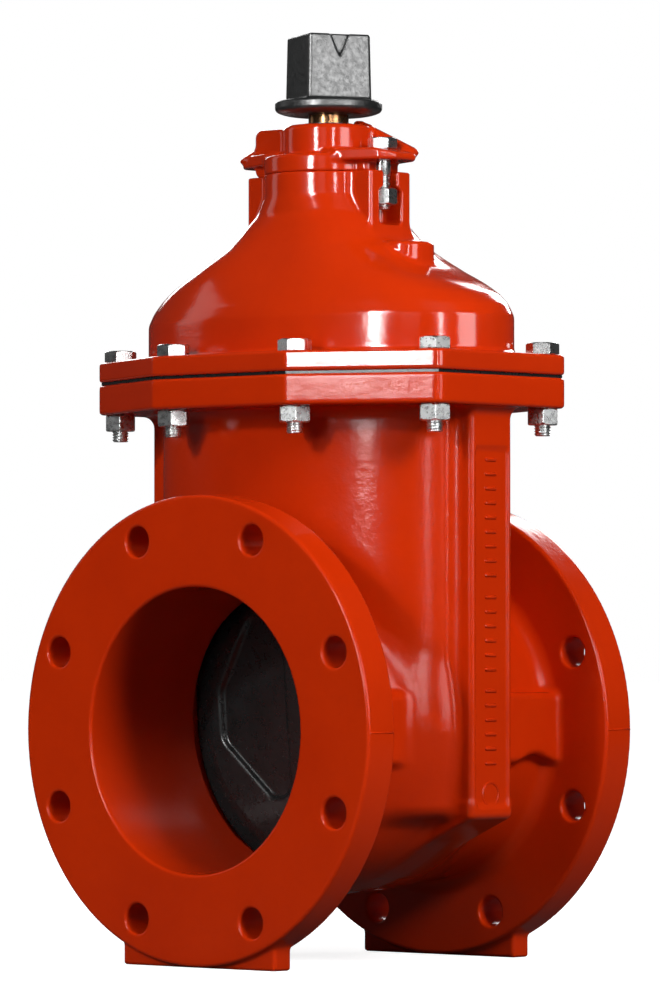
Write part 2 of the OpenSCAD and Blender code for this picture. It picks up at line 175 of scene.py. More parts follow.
def block(u, v, half_u, half_v, r, at=(0, 0)):
    """A rectangle with corners of radius r."""
    du = np.abs(u - at[0]) - half_u + r
    dv = np.abs(v - at[1]) - half_v + r
    outside = np.sqrt(np.maximum(du, 0) ** 2 + np.maximum(dv, 0) ** 2)
    return outside + np.minimum(np.maximum(du, dv), 0) - r


def polygon(u, v, points, r=0.0):
    """A convex or hollow outline, its corners rounded outwards by r."""
    pts = np.array(points, float)
    best = np.full(np.broadcast(u, v).shape, 1e9, np.float32)
    sign = np.ones_like(best)
    for a, b in zip(pts, np.roll(pts, 1, axis=0)):
        e = b - a
        wu, wv = u - a[0], v - a[1]
        t = np.clip((wu * e[0] + wv * e[1]) / (e @ e), 0, 1)
        best = np.minimum(best, (wu - e[0] * t) ** 2 + (wv - e[1] * t) ** 2)
        c1 = v >= a[1]
        c2 = v < b[1]
        c3 = e[0] * wv > e[1] * wu
        flip = (c1 & c2 & c3) | (~c1 & ~c2 & ~c3)
        sign = np.where(flip, -sign, sign)
    return sign * np.sqrt(best) - r


def inset(points, r):
    """Convex outline moved in by r, so that rounding by r brings it back."""
    pts = np.array(points, float)
    made = []
    for i, p in enumerate(pts):
        before, after = pts[i - 1] - p, pts[(i + 1) % len(pts)] - p
        before, after = before / np.linalg.norm(before), after / np.linalg.norm(after)
        middle = before + after
        middle /= np.linalg.norm(middle)
        half = 0.5 * math.acos(np.clip(before @ after, -1, 1))
        made.append(p + middle * r / math.sin(half))
    return made


def curve(at, knots, values, soft):
    """Values between knots, with the corners softened over the length soft."""
    fine = np.arange(knots[0] - 3 * soft, knots[-1] + 3 * soft, soft / 12)
    window = np.hanning(25)
    window /= window.sum()
    level = np.convolve(np.pad(np.interp(fine, knots, values), 12, "edge"), window, "valid")
    return np.interp(at.ravel(), fine, level).reshape(at.shape).astype(np.float32)


def oval(u, v, a, b, squareness=2.0):
    """A cylinder with half axes a and b, which may change along its length."""
    return (np.abs(u / a) ** squareness + np.abs(v / b) ** squareness) ** (1 / squareness) - 1


def distance(f, step):
    """A field turned into millimetres from its zero surface."""
    parts = np.gradient(f, step)
    size = np.sqrt(sum(p * p for p in parts))
    return f / np.maximum(size, 1e-4)


def whole(grid, field):
    """The field over the full box, with the mirrored sides filled in."""
    full = np.ascontiguousarray(np.broadcast_to(field, np.broadcast(grid.x, grid.y, grid.z).shape))
    start = list(grid.start)
    for axis, half in enumerate(grid.mirror):
        if half:
            full = np.concatenate([np.flip(full, axis), full], axis)
            start[axis] -= (full.shape[axis] // 2) * grid.step
    return full.astype(np.float32), np.array(start)


def sample(full, p):
    """The field at index points p, between its samples."""
    top = np.array(full.shape) - 2
    base = np.clip(np.floor(p).astype(int), 0, top)
    f = (p - base).astype(np.float32)
    total = 0
    for dx in (0, 1):
        for dy in (0, 1):
            for dz in (0, 1):
                w = ((f[:, 0] if dx else 1 - f[:, 0]) * (f[:, 1] if dy else 1 - f[:, 1])
                     * (f[:, 2] if dz else 1 - f[:, 2]))
                total = total + w * full[base[:, 0] + dx, base[:, 1] + dy, base[:, 2] + dz]
    return total


def slope(full, p):
    """The field's direction of steepest rise at index points p."""
    parts = []
    for axis in range(3):
        ahead = np.zeros(3)
        ahead[axis] = 0.5
        parts.append(sample(full, p + ahead) - sample(full, p - ahead))
    return np.stack(parts, 1)


def skin(name, grid, field):
    """One smooth mesh over the field's surface, with normals from the field itself."""
    full, start = whole(grid, field)
    volume = openvdb.FloatGrid(background=3 * grid.step)
    volume.copyFromArray(full)
    points, quads = volume.convertToQuads(isovalue=0.0)
    p = points.astype(float)
    for _ in range(2):
        g = slope(full, p)
        step_back = (sample(full, p) / np.maximum((g * g).sum(1), 0.2 * grid.step ** 2))[:, None] * g
        p -= np.clip(step_back, -0.3, 0.3)
    normals = slope(full, p)
    normals /= np.maximum(np.linalg.norm(normals, axis=1), 1e-9)[:, None]
    mesh = bpy.data.meshes.new(name)
    mesh.vertices.add(len(p))
    mesh.vertices.foreach_set("co", ((p * grid.step + start) * MM).astype(np.float32).ravel())
    mesh.loops.add(quads.size)
    mesh.loops.foreach_set("vertex_index", quads.astype(np.int32).ravel())
    mesh.polygons.add(len(quads))
    mesh.polygons.foreach_set("loop_start", np.arange(0, quads.size, 4, dtype=np.int32))
    mesh.update(calc_edges=True)
    mesh.validate()
    mesh.polygons.foreach_set("use_smooth", np.ones(len(mesh.polygons), bool))
    mesh.normals_split_custom_set_from_vertices(normals.astype(np.float32))
    made = bpy.data.objects.new(name, mesh)
    bpy.context.scene.collection.objects.link(made)
    print(name, len(mesh.polygons), "faces")
    return made


# ---------------------------------------------------------------- castings

def joint_holes(g):
    """The four joint bolt holes of one quarter, as one field."""
    made = 1e3
    for at in JOINT_BOLTS:
        made = np.minimum(made, disc(g.x, g.y, JOINT_HOLE_R, at))
    return made


def body_outside(g):
    """Flanges, necks, casing, barrel, ribs, blocks and feet of one quarter."""
    radius = disc(g.x, g.dz, 0)
    flange = common(radius - FLANGE_R, FACE - FLANGE_T - g.y, 2.5)
    # the casing swells sideways towards the guide ribs, and less below
    wide = curve(g.y, [0, 31, 50, 70, 86], [151, 144, 127, 118.5, NECK_R], 18)
    deep = curve(g.y, [0, 50, 86], [123, 121, NECK_R], 18)
    full = np.broadcast(g.x, g.y, g.z).shape
    casing = distance(np.broadcast_to(oval(g.x, g.dz, wide, deep), full), g.step)
    casing = common(casing, g.dz - 150, 1)
    flat = np.broadcast(g.x, g.y).shape[:2]
    barrel = distance(np.broadcast_to(oval(g.x, g.y, 150, 85)[:, :, 0], flat), g.step)[:, :, None]
    barrel = common(barrel, -63 - g.dz, 10)
    solid = join(casing, flange, 12)
    solid = join(solid, barrel, 10)
    # rib with a sunk panel, carried in under the pipe by a gusset
    rib = common(common(g.y - RIB_HALF, g.x - RIB_X, 4.5), -63 - g.dz, 3)
    under = (-(g.dz + 63) + (g.x - RIB_X) * 0.444) * 0.914
    gusset = common(common(g.y - RIB_HALF, g.x - RIB_X, 4.5), common(under, within(g.dz, -110, -50), 3), 3)
    rib = join(rib, common(gusset, 70 - g.x), 2)
    panel = common(common(g.y - 17.5, RIB_PANEL_X - g.x, 1), within(g.dz, -57, 208), 6)
    rib = cut(rib, panel, 1.6)
    solid = join(solid, common(rib, 60 - g.x), 7)
    side = common(block(g.x, g.dz, 45, 26, 5, (80, 1)), 30 - g.y)
    arch = disc(g.y, g.dz, 26, (92, -45))
    side = cut(side, arch, 5)
    solid = join(solid, side, 5)
    foot = common(block(g.x, g.y, 76, 9.2, 3, (0, 131.8)), g.z - 30)
    solid = join(solid, foot, 3)
    deck = common(polygon(g.x, g.y, inset(OCTAGON, 9), 9), BODY_TOP - BODY_DECK_T - g.z, 2.5)
    solid = join(solid, deck, 9)
    solid = common(solid, g.y - FACE, 2.5)
    return common(common(solid, g.z - BODY_TOP, 2.5), -g.z, 1.5)


def body_inside(g):
    """Waterway, wedge slot, wedge chamber and guide channels of one quarter."""
    r = WEDGE_R + 0.4
    half = WEDGE_HALF + 0.35 + g.dz * TAPER
    outline = np.minimum(disc(g.x, g.dz, r), common(g.x - r, within(g.dz, 0, 115)))
    slot = common(outline, (g.y - half) * math.cos(TAPER_ANGLE))
    flat = np.broadcast(g.x, g.y).shape[:2]
    chamber = distance(np.broadcast_to(oval(g.x, g.y, 139, 74)[:, :, 0], flat), g.step)[:, :, None]
    chamber = common(chamber, 112 - g.dz, 4)
    channel = common(common(g.y - 13.5, g.x - 149, 3), -60 - g.dz, 3)
    channel = common(channel, 90 - g.x)
    waterway = join(np.broadcast_to(disc(g.x, g.dz, BORE_R), slot.shape), slot, 1.5)
    return join(join(waterway, chamber, 3), channel, 2)


def body_piece():
    """Body casting with its waterway, flange holes and joint bolt holes."""
    g = Grid(BODY_LOW, BODY_HIGH, BODY_STEP, (True, True, False))
    field = cut(body_outside(g), body_inside(g), 2.2)
    holes = 1e3
    for k in range(HOLE_COUNT):
        turn = math.radians((k + 0.5) * 360 / HOLE_COUNT)
        at = (HOLE_CIRCLE_R * math.cos(turn), HOLE_CIRCLE_R * math.sin(turn))
        holes = np.minimum(holes, disc(g.x, g.dz, HOLE_R, at))
    holes = common(holes, FACE - FLANGE_T - 12 - g.y)
    field = cut(field, holes, 1.8)
    field = cut(field, common(joint_holes(g), BODY_TOP - BODY_DECK_T - 6 - g.z), 1.2)
    return skin("body_casting", g, field)


def bell(g):
    """The bonnet's outer bell: an upright oval wall that sweeps in to the round neck."""
    heights = [275, 303, 312, 320, 328, 338, 348, 358, 369, 382, 396]
    a = curve(g.dz, heights, [165, 165, 160, 149, 131, 104, 83, 68, 60, 53, 48], 4)
    b = curve(g.dz, heights, [90, 90, 87.5, 83.5, 79, 73.5, 67, 60, 54, 49, 48], 4)
    square = curve(g.dz, heights, [2, 2, 2, 2.15, 2.5, 3.1, 3.5, 3.4, 3, 2.3, 2], 4)
    full = np.broadcast(g.x, g.y, g.z).shape
    return distance(np.broadcast_to(oval(g.x, g.y, a, b, square), full), g.step)


def ridge(g):
    """The squarer ridge that carries the lugs down into the bell."""
    heights = [326, 338, 343, 348, 354, 358, 363, 369, 375, 380]
    a = curve(g.dz, heights, [116, 95, 89, 84, 78, 72, 66, 62, 57, 50], 4)
    b = curve(g.dz, heights, [44, 40, 38.5, 38, 37, 36, 35, 33, 31, 29], 4)
    full = np.broadcast(g.x, g.y, g.z).shape
    wall = distance(np.broadcast_to(oval(g.x, g.y, a, b, 4.5), full), g.step)
    return common(wall, g.dz - 384, 3)


def bonnet_piece():
    """Bonnet casting: bell, ridge, noses and slotted lugs, hollow for the raised wedge."""
    g = Grid(BONNET_LOW, BONNET_HIGH, BONNET_STEP, (True, True, False))
    solid = join(bell(g), ridge(g), 6)
    # a rounded nose below the lug runs out onto the bell
    nose = common(block(g.x, g.y, 97, 20, 18), within(g.dz, 326, 359), 3)
    solid = join(solid, nose, 4)
    # slotted lug: two walls and a shelf for the seal plate bolt
    lug = common(block(g.x, g.y, 62.5, 22.5, 3), within(g.dz, 345, 440), 3)
    solid = join(solid, lug, 5)
    deck = common(polygon(g.x, g.y, inset(OCTAGON, 9), 9), g.z - DECK_HIGH, 2.5)
    solid = join(solid, deck, 4)
    solid = common(solid, g.z - NECK_TOP, 1.2)
    solid = common(solid, DECK_LOW - g.z, 2.2)
    # the shelf is 12 mm thick; the nut sits below it
    pocket = common(common(g.y - 12, 43 - g.x, 5), within(g.dz, 373, 400), 4)
    notch = common(common(g.y - 7.5, 47.5 - g.x, 6), 396 - g.dz)
    solid = cut(solid, pocket, 2)
    solid = cut(solid, notch, 1.8)
    # room inside for the raised wedge, and the bore of the stem
    heights = [250, 300, 322, 334, 346, 356, 366]
    a = curve(g.dz, heights, [155, 154, 128, 98, 76, 60, 44], 5)
    b = curve(g.dz, heights, [80, 79, 69, 60, 50, 42, 37], 5)
    full = np.broadcast(g.x, g.y, g.z).shape
    room = distance(np.broadcast_to(oval(g.x, g.y, a, b), full), g.step)
    room = common(room, g.dz - 370, 3)
    shaft = disc(g.x, g.y, 19)
    counterbore = common(disc(g.x, g.y, 27), 381 - g.dz)
    solid = cut(solid, room, 2)
    solid = cut(cut(solid, shaft), counterbore)
    solid = cut(solid, joint_holes(g), 1.2)
    return skin("bonnet_casting", g, solid)


def seal_plate_piece():
    """Seal plate: ring and hub with two ears, a web on one and a stop block on the other."""
    g = Grid(PLATE_LOW, PLATE_HIGH, PLATE_STEP)
    radius = disc(g.x, g.y, 0)
    up = g.dz
    ring = common(radius - 48, up - 426, 3)
    hub = common(radius - 34, up - 449, 4)
    solid = join(ring, hub, 3)
    # ears: wide at the ring, narrowing to a blunt tip that slopes off
    reach = np.abs(g.x)
    top = (up - 429 + np.maximum(reach - 63, 0) * 0.28) * 0.96
    plan = [(20, -33), (36, -32), (68, -20), (77, -11), (77, 11), (68, 20), (36, 32), (20, 33)]
    plan = polygon(reach, g.y, inset(plan, 4), 4)
    ear = common(plan, common(top, 420 - up, 2.5), 2)
    root = common(block(g.x, g.y, 55, 19, 5), up - 422, 2)
    solid = join(join(solid, ear, 3), root, 3)
    # right: a web falls from the hub to the ear along its far side
    fall = (up - (446.5 - (g.x - 34) * 0.44)) * 0.91
    web = common(common(common(fall, 424 - up), within(g.y, 11.5, 20), 3.5), within(g.x, 10, 74), 3)
    # left: a stop block stands on the near side, then steps down to the tip
    stop = common(common(common(up - 448, 412 - up), within(g.x, -57, -10), 6), within(g.y, -20.5, -9), 3)
    toe_top = (up - (434.5 + (g.x + 56) * 0.42)) * 0.92
    toe = common(common(common(toe_top, 424 - up), within(g.y, -20, -9), 3), within(g.x, -74, -20), 3)
    solid = join(join(join(solid, web, 3), stop, 3), toe, 3)
    solid = common(solid, NECK_TOP - AXIS - up, 1)
    for side in (-1, 1):
        at = (SEAL_BOLT_X * side, 0)
        solid = cut(solid, disc(g.x, g.y, 7.15, at), 1)
        seat = common(disc(g.x, g.y, 13, at), SEAL_SEAT_DZ - up)
        solid = cut(solid, seat, 0.8)
    solid = cut(solid, disc(g.x, g.y, 15.1), 0.5)
    mouth = common(disc(g.x, g.y, 19.5), 443 - up)
    return skin("seal_plate_casting", g, cut(solid, mouth, 1))


def operating_nut_piece():
    """Two inch square that tapers upwards, on a round collar."""
    g = Grid(NUT_LOW, NUT_HIGH, NUT_STEP)
    u = g.x * math.cos(NUT_TURN) + g.y * math.sin(NUT_TURN)
    v = g.y * math.cos(NUT_TURN) - g.x * math.sin(NUT_TURN)
    up = g.dz
    half = 25.4 - (up - 467.6) * 0.9 / 48.8
    square = common(block(u, v, half, half, 3), common(up - 516.4, 460 - up), 1.8)
    radius = disc(g.x, g.y, 0)
    collar = common(radius - 40, within(up, 457, 467.6), 2.5)
    cone = (radius - 33 - (up - 457) * 2.2) * 0.42
    collar = common(collar, cone, 2)
    solid = join(square, collar, 2.5)
    # notch that shows which way the nut stands
    side = np.sqrt(v * v + 2.5) * 0.934 - (up - 497) * 0.357
    notch = common(side, 21.4 - u, 1.5)
    solid = cut(solid, notch, 1.5)
    solid = cut(solid, common(radius - 12, 504.4 - up), 1)
    solid = cut(solid, radius - 4.5)
    solid = cut(solid, common(radius - 15.1, up - 470), 0.5)
    return skin("nut_casting", g, solid)


def wedge_piece():
    """Rubber coat of the wedge with its sealing bands, sunk panels, boss and side lugs."""
    low, high = box_mm("wedge_rubber")
    g = Grid(low, high, WEDGE_STEP, (True, True, False))
    r = WEDGE_R
    radius = disc(g.x, g.dz, 0)
    half = (g.y - WEDGE_HALF - g.dz * TAPER) * math.cos(TAPER_ANGLE)
    shoulder = [(r, 0), (r, 45), (86, 86), (45, 115), (-45, 115), (-86, 86), (-r, 45), (-r, 0)]
    shoulder = polygon(g.x, g.dz, shoulder)
    outline = np.minimum(disc(g.x, g.dz, r), np.maximum(shoulder, -g.dz))
    # the sealing band falls away slightly towards its outer edge
    solid = common(outline, half + np.maximum(radius - 87, 0) * 0.3, 4)
    # a sunk panel on each side of the upright middle
    panel = [(12, -67), (77, -9), (77, 28), (44, 84), (12, 84)]
    panel = polygon(np.abs(g.x), g.dz, inset(panel, 13), 13)
    solid = cut(solid, common(panel, -half - 4, 2.5), 3.5)
    boss = common(disc(g.x, g.y, 33), within(g.dz, 60, 150), 3)
    solid = join(solid, boss, 7)
    lug = common(common(g.y - 9, g.x - 119, 2), within(g.dz, -34, 34), 2)
    solid = join(solid, lug, 4)
    solid = cut(solid, disc(g.x, g.y, 18.5), 2)
    cross = common(disc(g.x, g.y, 22), within(g.dz, 108, 145))
    solid = cut(solid, cross, 0.5)
    return skin("wedge_facing", g, solid)


# ---------------------------------------------------------------- fasteners and stem

class Shape:
    """Collects lofted rings into one mesh. Lengths are in millimetres."""

    def __init__(self):
        self.points = []
        self.faces = []
        self.looks = []

    def loft(self, rings, look=0, closed=False):
        """Joins equal rings in order. An open loft is capped at both ends."""
        base = len(self.points)
        n = len(rings[0])
        for ring in rings:
            self.points.extend(map(tuple, ring))
        count = len(rings)
        for k in range(count if closed else count - 1):
            a, b = base + k * n, base + (k + 1) % count * n
            for i in range(n):
                j = (i + 1) % n
                self.faces.append((a + i, a + j, b + j, b + i))
                self.looks.append(look)
        if not closed:
            self.faces.append(tuple(base + i for i in reversed(range(n))))
            self.faces.append(tuple(base + (count - 1) * n + i for i in range(n)))
            self.looks.extend([look, look])

    def make(self, name, sharp=30, bevel=0.0):
        mesh = bpy.data.meshes.new(name)
        mesh.from_pydata([Vector(p) * MM for p in self.points], [], self.faces)
        mesh.polygons.foreach_set("material_index", self.looks)
        mesh.polygons.foreach_set("use_smooth", [True] * len(mesh.polygons))
        mesh.set_sharp_from_angle(angle=math.radians(sharp))
        made = bpy.data.objects.new(name, mesh)
        bpy.context.scene.collection.objects.link(made)
        if bevel:
            soften(made, bevel, sharp)
        return made


def soften(piece, width, angle=30):
    """Takes the hard edges off a piece."""
    mod = piece.modifiers.new("edges", "BEVEL")
    mod.width = width * MM
    mod.segments = 2
    mod.limit_method = "ANGLE"
    mod.angle_limit = math.radians(angle)
    mod.harden_normals = True


HEX_POINTS = 72
HEX_ANGLES = [math.radians(k * 360 / HEX_POINTS) for k in range(HEX_POINTS)]


def ring_at(at, radius, z, turn=0.0, angles=HEX_ANGLES):
    """A level ring. Radius and z are numbers, or functions of the angle."""
    made = []
    for t in angles:
        r = radius(t) if callable(radius) else radius
        h = z(t) if callable(z) else z
        made.append((at[0] + r * math.cos(t + turn), at[1] + r * math.sin(t + turn), h))
    return made


def hex_radius(across):
    """Radius of a hexagon at each angle, with a corner at angle 0."""
    sector = math.radians(60)
    return lambda t: across / 2 / math.cos((t + 1e-9) % sector - sector / 2)


def chamfered(across, level, rise):
    """Height of a hexagon's edge where a 30 degree cone has taken its corners off."""
    radius = hex_radius(across)
    round_r = across / 2 * 0.95
    return lambda t: level + rise * max(0, radius(t) - round_r) * math.tan(math.radians(30))


def hex_head(shape, at, across, low, high, turn):
    """Bolt head: washer face below, chamfered corners and a shallow dish above."""
    r = across / 2
    shape.loft([ring_at(at, r * 0.9, low, turn),
                ring_at(at, r * 0.94, low + 0.25, turn),
                ring_at(at, hex_radius(across), low + 0.45, turn),
                ring_at(at, hex_radius(across), chamfered(across, high, -1), turn),
                ring_at(at, r * 0.95, high, turn),
                ring_at(at, r * 0.62, high, turn),
                ring_at(at, r * 0.55, high - 0.3, turn),
                ring_at(at, r * 0.1, high - 0.35, turn)])


def hex_nut(shape, at, across, low, high, turn, bore_r):
    """Nut with chamfered corners on both faces and a plain bore."""
    r = across / 2
    shape.loft([ring_at(at, bore_r, low + 0.8, turn),
                ring_at(at, bore_r + 0.7, low, turn),
                ring_at(at, r * 0.95, low, turn),
                ring_at(at, hex_radius(across), chamfered(across, low, 1), turn),
                ring_at(at, hex_radius(across), chamfered(across, high, -1), turn),
                ring_at(at, r * 0.95, high, turn),
                ring_at(at, bore_r + 0.7, high, turn),
                ring_at(at, bore_r, high - 0.8, turn)], closed=True)


def threaded_rod(shape, at, radius, low, high, pitch, threaded, look=0):
    """Rod with a cut thread on its lower part and a pointed lower end."""
    depth = pitch * 0.55
    angles = [math.radians(k * 15) for k in range(24)]
    steps = 8
    rings = []
    for k in range(int(threaded / pitch * steps) + 1):
        z = low + k * pitch / steps
        tip = radius - depth - 0.2 + (z - low) * 1.2
        fade = min(1.0, (low + threaded - z) / pitch)

        def groove(t, z=z, tip=tip, fade=fade):
            phase = (z / pitch - t / (2 * math.pi)) % 1
            return min(tip, radius - depth * fade * (1 - abs(2 * phase - 1)))

        rings.append(ring_at(at, groove, z, 0, angles))
    rings.append(ring_at(at, radius, high, 0, angles))
    shape.loft(rings, look)


def joint_places():
    """The joint bolts of one quarter, mirrored into all four."""
    return [(x * sx, y * sy) for x, y in JOINT_BOLTS for sx in (-1, 1) for sy in (-1, 1)]


def flat_towards(bearing):
    """Turn that points a flat of a hexagon along a bearing counted from -Y towards +X."""
    return math.radians(bearing - 90 - 30)


def bonnet_fasteners():
    """Bolts and nuts of the joint. The heads stand on the bonnet, the nuts hang below the body."""
    low, high = box_mm("bonnet_bolts")
    nut_low, nut_high = box_mm("bonnet_nuts")
    bolts, nuts = Shape(), Shape()
    bearings = {(-158, -60): (59, 12), (-61, -103.5): (57, 67), (61, -103.5): (47, 17),
                (158, -60): (15, 14), (158, 60): (36, 12)}
    for k, at in enumerate(joint_places()):
        head, nut = bearings.get(at, (17 * k % 60, 31 * k % 60))
        hex_head(bolts, at, JOINT_AF, DECK_HIGH, high[2], flat_towards(head))
        threaded_rod(bolts, at, 6.3, low[2], DECK_HIGH + 1, 1.95, 27, look=1)
        hex_nut(nuts, at, JOINT_AF, nut_low[2], nut_high[2], flat_towards(nut), 6.36)
    return bolts.make("joint_bolts", bevel=0.3), nuts.make("joint_nuts", bevel=0.3)


def seal_plate_fasteners():
    """The two bolts of the seal plate, with their nuts under the shelves of the lugs."""
    low, high = box_mm("seal_plate_bolts")
    nut_low, nut_high = box_mm("seal_plate_nuts")
    seat = AXIS + SEAL_SEAT_DZ
    bolts, nuts = Shape(), Shape()
    for x, head, nut in ((SEAL_BOLT_X, 34, 36), (-SEAL_BOLT_X, 21, 50)):
        at = (x, 0)
        hex_head(bolts, at, SEAL_AF, seat, high[2], flat_towards(head))
        threaded_rod(bolts, at, 5.95, low[2], seat + 1, 1.75, 26)
        hex_nut(nuts, at, SEAL_AF, nut_low[2], nut_high[2], flat_towards(nut), 6.02)
    return bolts.make("seal_bolts", bevel=0.3), nuts.make("seal_nuts", bevel=0.3)


def nut_screw_piece():
    """Hexagon screw that holds the operating nut on the stem."""
    low, high = box_mm("nut_screw")
    shape = Shape()
    hex_head(shape, (0, 0), 13, high[2] - 5.5, high[2], 0.3)
    threaded_rod(shape, (0, 0), 4, low[2], high[2] - 5, 1.25, 3)
    return shape.make("top_screw", bevel=0.2)


def stem_piece():
    """Left-hand screw below, thrust collar, polished shaft and the square that drives it."""
    low, high = box_mm("stem")
    lead, turns, steps, sides = 8.0, 32, 20, 48
    start = low[2]
    angles = [math.radians(k * 360 / sides) for k in range(sides)]
    shape = Shape()
    rings = []
    for k in range(turns * steps + 1):
        z = start + k * lead / steps

        def flank(t, z=z):
            wave = math.cos(t + 2 * math.pi * (z - start) / lead)
            return 14 + 2 * max(-1.0, min(1.0, 1.35 * wave))

        rings.append(ring_at((0, 0), flank, z, 0, angles))
    shape.loft(rings)
    top = start + turns * lead
    collar = AXIS + STEM_COLLAR_DZ
    profile = [(14.4, top - 0.01), (15, top + 0.6), (15, collar), (21.7, collar), (22.5, collar + 0.8),
               (22.5, collar + 11.2), (21.7, collar + 12), (15, collar + 12), (15, AXIS + 464.9),
               (14, AXIS + 465.9), (13, AXIS + 465.95)]
    shape.loft([ring_at((0, 0), r, z, 0, angles) for r, z in profile])

    def square(t):
        return min(10.5 / max(abs(math.cos(t)), abs(math.sin(t))), 14.2)

    shape.loft([ring_at((0, 0), square, AXIS + 465, NUT_TURN),
                ring_at((0, 0), square, high[2] - 0.8, NUT_TURN),
                ring_at((0, 0), lambda t: square(t) - 0.8, high[2], NUT_TURN)])
    return shape.make("stem_screw", sharp=40)


# ---------------------------------------------------------------- small cast details

def stroke(shape, points, radius, sides=10):
    """A round bead of paint-covered iron along a line of points."""
    pts = [Vector(p) for p in points]
    rings = []
    for k, p in enumerate(pts):
        ahead = (pts[min(k + 1, len(pts) - 1)] - pts[max(k - 1, 0)]).normalized()
        side = ahead.orthogonal().normalized()
        up = ahead.cross(side)
        r = radius * (0.45 if k in (0, len(pts) - 1) else 1.0)
        rings.append([tuple(p + side * (r * math.cos(a)) + up * (r * math.sin(a)))
                      for a in (2 * math.pi * i / sides for i in range(sides))])
    shape.loft(rings)


def bead(a, b, radius):
    """Points of a straight bead with rounded ends."""
    a, b = Vector(a), Vector(b)
    along = (b - a).normalized() * radius * 0.6
    return [a - along, a, b, b + along]


def loop(shape, centre, radius, thick, sides=40):
    """A raised ring that stands on a face across X."""
    x, y, z = centre
    rings = []
    for k in range(sides):
        t = 2 * math.pi * k / sides
        rings.append([(x + thick * math.cos(a), y + (radius + thick * math.sin(a)) * math.cos(t),
                       z + (radius + thick * math.sin(a)) * math.sin(t))
                      for a in (2 * math.pi * i / 10 for i in range(10))])
    shape.loft(rings, closed=True)


def rib_marks():
    """Plain relief bars in three groups in the sunk panel of each rib, above a round mark."""
    shape = Shape()
    groups = [(196, 9), (96, 6), (28, 6)]
    for side in (-1, 1):
        x = side * (RIB_PANEL_X - 0.3)
        for top, count in groups:
            for k in range(count):
                z = AXIS + top - k * 10.5 + 1
                stroke(shape, bead((x, -5.5, z), (x, 5.5, z), 1.5), 1.5)
        loop(shape, (x, 0, AXIS - 46), 8.5, 1.1, 40)
    return shape.make("rib_relief", sharp=60)


def parting_ticks():
    """The short parting line that the mould left across each flange rim."""
    shape = Shape()
    for side in (-1, 1):
        for end in (-1, 1):
            y0, y1 = end * (FACE - FLANGE_T + 2), end * (FACE - 2)
            stroke(shape, bead((side * FLANGE_R, y0, AXIS), (side * FLANGE_R, y1, AXIS), 0.6), 0.6)
    return shape.make("parting_lines", sharp=60)


# ---------------------------------------------------------------- materials

def set_range(node, low, high, to_low, to_high):
    """Fills in the four limits of a Map Range node."""
    for socket, value in (("From Min", low), ("From Max", high), ("To Min", to_low), ("To Max", to_high)):
        node.inputs[socket].default_value = value


class Look:
    """A node material with object coordinates in metres as its base."""

    def __init__(self, name, **sockets):
        self.material = bpy.data.materials.new(name)
        self.material.use_nodes = True
        self.tree = self.material.node_tree
        self.shader = self.tree.nodes["Principled BSDF"]
        self.place = self.tree.nodes.new("ShaderNodeTexCoord").outputs["Object"]
        for socket, value in sockets.items():
            self.shader.inputs[socket.replace("_", " ")].default_value = value

    def link(self, source, target):
        """Joins an output socket to an input socket."""
        self.tree.links.new(source, target)

    def noise(self, scale, detail=3.0, rough=0.5, stretch=None):
        """Cloudy pattern in object space, which stretch squeezes along an axis."""
        node = self.tree.nodes.new("ShaderNodeTexNoise")
        node.inputs["Scale"].default_value = scale
        node.inputs["Detail"].default_value = detail
        node.inputs["Roughness"].default_value = rough
        place = self.place
        if stretch:
            mapping = self.tree.nodes.new("ShaderNodeMapping")
            mapping.inputs["Scale"].default_value = stretch
            self.link(place, mapping.inputs["Vector"])
            place = mapping.outputs["Vector"]
        self.link(place, node.inputs["Vector"])
        return node.outputs["Fac"]

    def spread(self, source, low, high, to_low=0.0, to_high=1.0):
        """Moves source from the range low to high into another range."""
        node = self.tree.nodes.new("ShaderNodeMapRange")
        set_range(node, low, high, to_low, to_high)
        self.link(source, node.inputs["Value"])
        return node.outputs["Result"]

    def colours(self, source, stops):
        """Colours along source, from stops of (position, colour)."""
        node = self.tree.nodes.new("ShaderNodeValToRGB")
        ramp = node.color_ramp
        while len(ramp.elements) < len(stops):
            ramp.elements.new(0.5)
        for element, (at, colour) in zip(ramp.elements, stops):
            element.position = at
            element.color = (*colour, 1)
        self.link(source, node.inputs["Fac"])
        return node.outputs["Color"]

    def tint(self, colour, source, by, amount):
        """Mixes the colour towards another where source is high."""
        node = self.tree.nodes.new("ShaderNodeMix")
        node.data_type = "RGBA"
        scaled = self.spread(source, 0, 1, 0, amount)
        self.link(scaled, node.inputs["Factor"])
        self.link(colour, node.inputs["A"])
        node.inputs["B"].default_value = (*by, 1)
        return node.outputs["Result"]

    def bumps(self, *layers):
        """Each layer is (height source, strength, depth in millimetres)."""
        normal = None
        for source, strength, depth in layers:
            node = self.tree.nodes.new("ShaderNodeBump")
            node.inputs["Strength"].default_value = strength
            node.inputs["Distance"].default_value = depth * MM
            self.link(source, node.inputs["Height"])
            if normal:
                self.link(normal, node.inputs["Normal"])
            normal = node.outputs["Normal"]
        self.link(normal, self.shader.inputs["Normal"])

    def colour(self, source):
        """Takes the base colour from source."""
        self.link(source, self.shader.inputs["Base Color"])

    def roughness(self, source):
        """Takes the roughness from source."""
        self.link(source, self.shader.inputs["Roughness"])


